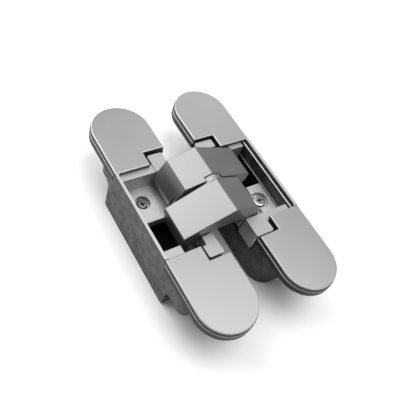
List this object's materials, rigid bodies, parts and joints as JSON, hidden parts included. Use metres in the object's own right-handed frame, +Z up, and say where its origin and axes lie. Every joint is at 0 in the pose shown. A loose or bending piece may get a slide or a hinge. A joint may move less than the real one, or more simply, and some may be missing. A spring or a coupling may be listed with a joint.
{
  "type": "concealed door hinge",
  "caption": "Concealed door hinge with round-ended leaves, cast mortise housings, satin cover caps and crossing link arms that fold from open flat to shut.",
  "frame": {"origin": "middle of the footprint, level with the undersides of the two housings, hinge open flat", "axes": "+X from the frame leaf to the door leaf, +Y along the leaves, +Z up out of the plate faces"},
  "size_m": [0.0714, 0.118, 0.036],
  "materials": {
    "dark_casting": "dark grey coated zinc casting, slightly mottled",
    "satin_cap": "satin silver grey, fine even surface",
    "grey_casting": "satin silver grey zinc casting",
    "satin_arm": "satin silver grey, smooth",
    "bright_steel": "ground steel",
    "bush": "dark bearing plastic",
    "sleeve": "black bearing plastic",
    "plated_screw": "bright plated steel"
  },
  "bodies": {
    "frame_leaf": {"frame_housing": "dark_casting", "frame_cap_far": "satin_cap", "frame_cap_near": "satin_cap", "frame_clamp_screw": "plated_screw"},
    "frame_slide": {"frame_carriage": "grey_casting", "frame_pivot_pin": "bright_steel"},
    "rear_link": {"rear_arm": "satin_arm", "frame_pivot_bush": "bush", "centre_bush": "bush", "centre_washer": "bush", "rear_slider_pin": "bright_steel", "rear_slide_sleeve": "sleeve"},
    "front_link": {"front_arm": "satin_arm", "centre_pin": "bright_steel", "door_pivot_bush": "bush", "front_slider_pin": "bright_steel", "front_slide_sleeve": "sleeve"},
    "door_slide": {"door_carriage": "grey_casting", "door_pivot_pin": "bright_steel"},
    "door_leaf": {"door_housing": "dark_casting", "door_cap_far": "satin_cap", "door_cap_near": "satin_cap", "door_clamp_screw": "plated_screw"}
  },
  "joints": [
    {"name": "height_adjust", "type": "slide", "parent": "frame_leaf", "child": "frame_slide", "axis": [0, 1, 0], "range_m": [-0.001, 0.001]},
    {"name": "fold", "type": "hinge", "parent": "frame_slide", "child": "rear_link", "pos_m": [-0.0132, 0.0016, 0.0211], "axis": [0, -1, 0], "range_deg": [0, 112.96]},
    {"name": "centre_turn", "type": "hinge", "parent": "rear_link", "child": "front_link", "pos_m": [-0.001, 0.0016, 0.0308], "axis": [0, -1, 0], "range_deg": [-45.97, 0.05]},
    {"name": "door_turn", "type": "hinge", "parent": "front_link", "child": "door_slide", "pos_m": [0.0112, 0.0016, 0.0211], "axis": [0, -1, 0], "range_deg": [-0.05, 113.01]},
    {"name": "depth_adjust", "type": "slide", "parent": "door_slide", "child": "door_leaf", "axis": [-1, 0, 0], "range_m": [-0.0005, 0.0005]}
  ],
  "couplings": [
    {"joint": "centre_turn", "follows": "fold", "ratio": -0.40649},
    {"joint": "door_turn", "follows": "fold", "ratio": 1}
  ]
}
